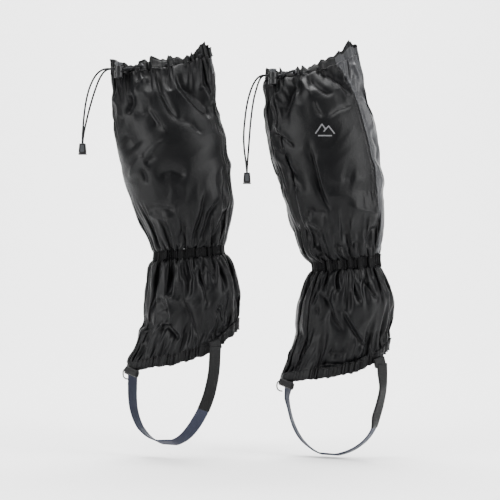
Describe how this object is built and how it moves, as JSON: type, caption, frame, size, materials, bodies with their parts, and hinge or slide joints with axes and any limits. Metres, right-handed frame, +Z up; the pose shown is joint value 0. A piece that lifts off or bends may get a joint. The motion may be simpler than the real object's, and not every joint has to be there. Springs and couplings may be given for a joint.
{
  "type": "gaiters",
  "caption": "Pair of pull-on nylon gaiters with a drawcord cuff and cord lock, elastic ankle and hem, a lace hook at the toe and an instep strap.",
  "frame": {"origin": "midway between the two gaiters, on the ground plane that the lower instep strap's underside touches, where the wearer stands", "axes": "+Z up the legs, -X towards the toes, +Y away from the side that faces the viewer; the wearer's right gaiter is at -X"},
  "size_m": [0.3902, 0.114, 0.5122],
  "materials": {
    "shell_fabric": "black coated nylon plain weave, slight sheen",
    "rear_fabric": "dark grey heavier nylon, matt",
    "elastic": "black woven elastic",
    "webbing": "black woven webbing",
    "strap": "blue-black coated webbing, satin",
    "cord": "braided cord, black with grey flecks",
    "lock_plastic": "moulded acetal, satin",
    "steel": "nickel-plated steel, bright"
  },
  "bodies": {
    "gaiters": {"right_upper_lateral_panel": "shell_fabric", "right_upper_rear_panel": "rear_fabric", "right_upper_medial_panel": "shell_fabric", "right_lower_lateral_panel": "shell_fabric", "right_lower_medial_panel": "shell_fabric", "right_cuff_tunnel": "shell_fabric", "right_eyelet_front": "steel", "right_eyelet_rear": "steel", "right_drawcord_loop": "cord", "right_cord_tail_outer": "cord", "right_cord_tail_inner": "cord", "right_cord_end_shell": "lock_plastic", "right_cord_end_plug": "lock_plastic", "right_ankle_casing": "shell_fabric", "right_ankle_elastic": "elastic", "right_hem_casing": "shell_fabric", "right_hem_elastic": "elastic", "right_toe_loop": "webbing", "right_strap_tab_front": "webbing", "right_strap_tab_rear": "webbing", "left_upper_lateral_panel": "shell_fabric", "left_upper_rear_panel": "rear_fabric", "left_upper_medial_panel": "shell_fabric", "left_lower_lateral_panel": "shell_fabric", "left_lower_medial_panel": "shell_fabric", "left_cuff_tunnel": "shell_fabric", "left_eyelet_front": "steel", "left_eyelet_rear": "steel", "left_drawcord_loop": "cord", "left_cord_tail_outer": "cord", "left_cord_tail_inner": "cord", "left_cord_end_shell": "lock_plastic", "left_cord_end_plug": "lock_plastic", "left_ankle_casing": "shell_fabric", "left_ankle_elastic": "elastic", "left_hem_casing": "shell_fabric", "left_hem_elastic": "elastic", "left_toe_loop": "webbing", "left_strap_tab_front": "webbing", "left_strap_tab_rear": "webbing"},
    "right_cord_lock": {"right_cord_lock_barrel": "lock_plastic", "right_cord_lock_spring": "steel"},
    "right_lock_plunger": {"right_cord_lock_plunger": "lock_plastic"},
    "right_hook": {"right_lace_hook": "steel"},
    "right_strap": {"right_instep_strap": "strap"},
    "left_cord_lock": {"left_cord_lock_barrel": "lock_plastic", "left_cord_lock_spring": "steel"},
    "left_lock_plunger": {"left_cord_lock_plunger": "lock_plastic"},
    "left_hook": {"left_lace_hook": "steel"},
    "left_strap": {"left_instep_strap": "strap"}
  },
  "joints": [
    {"name": "right_lock_slide", "type": "slide", "parent": "gaiters", "child": "right_cord_lock", "axis": [-1, 0, 0], "range_m": [0, 0.006]},
    {"name": "right_plunger_press", "type": "slide", "parent": "right_cord_lock", "child": "right_lock_plunger", "axis": [0, 0, -1], "range_m": [0, 0.002], "stiffness_N_per_m": 400, "springref_m": -0.004, "deforming": ["right_cord_lock_spring"]},
    {"name": "right_hook_swing", "type": "hinge", "parent": "gaiters", "child": "right_hook", "pos_m": [-0.1326, -0.0166, 0.106], "axis": [0.7612, -0.5947, -0.2588], "range_deg": [-60, 30]},
    {"name": "right_strap_swing", "type": "hinge", "parent": "gaiters", "child": "right_strap", "pos_m": [-0.134, 0.014, 0.098], "axis": [0.8552, -0.448, 0.2606], "range_deg": [-35, 35]},
    {"name": "left_lock_slide", "type": "slide", "parent": "gaiters", "child": "left_cord_lock", "axis": [-1, 0, 0], "range_m": [0, 0.006]},
    {"name": "left_plunger_press", "type": "slide", "parent": "left_cord_lock", "child": "left_lock_plunger", "axis": [0, 0, -1], "range_m": [0, 0.002], "stiffness_N_per_m": 400, "springref_m": -0.004, "deforming": ["left_cord_lock_spring"]},
    {"name": "left_hook_swing", "type": "hinge", "parent": "gaiters", "child": "left_hook", "pos_m": [0.0588, -0.0166, 0.091], "axis": [0.7612, -0.5947, -0.2588], "range_deg": [-60, 30]},
    {"name": "left_strap_swing", "type": "hinge", "parent": "gaiters", "child": "left_strap", "pos_m": [0.062, 0.0166, 0.0825], "axis": [0.8983, -0.3908, 0.2009], "range_deg": [-35, 35]}
  ]
}
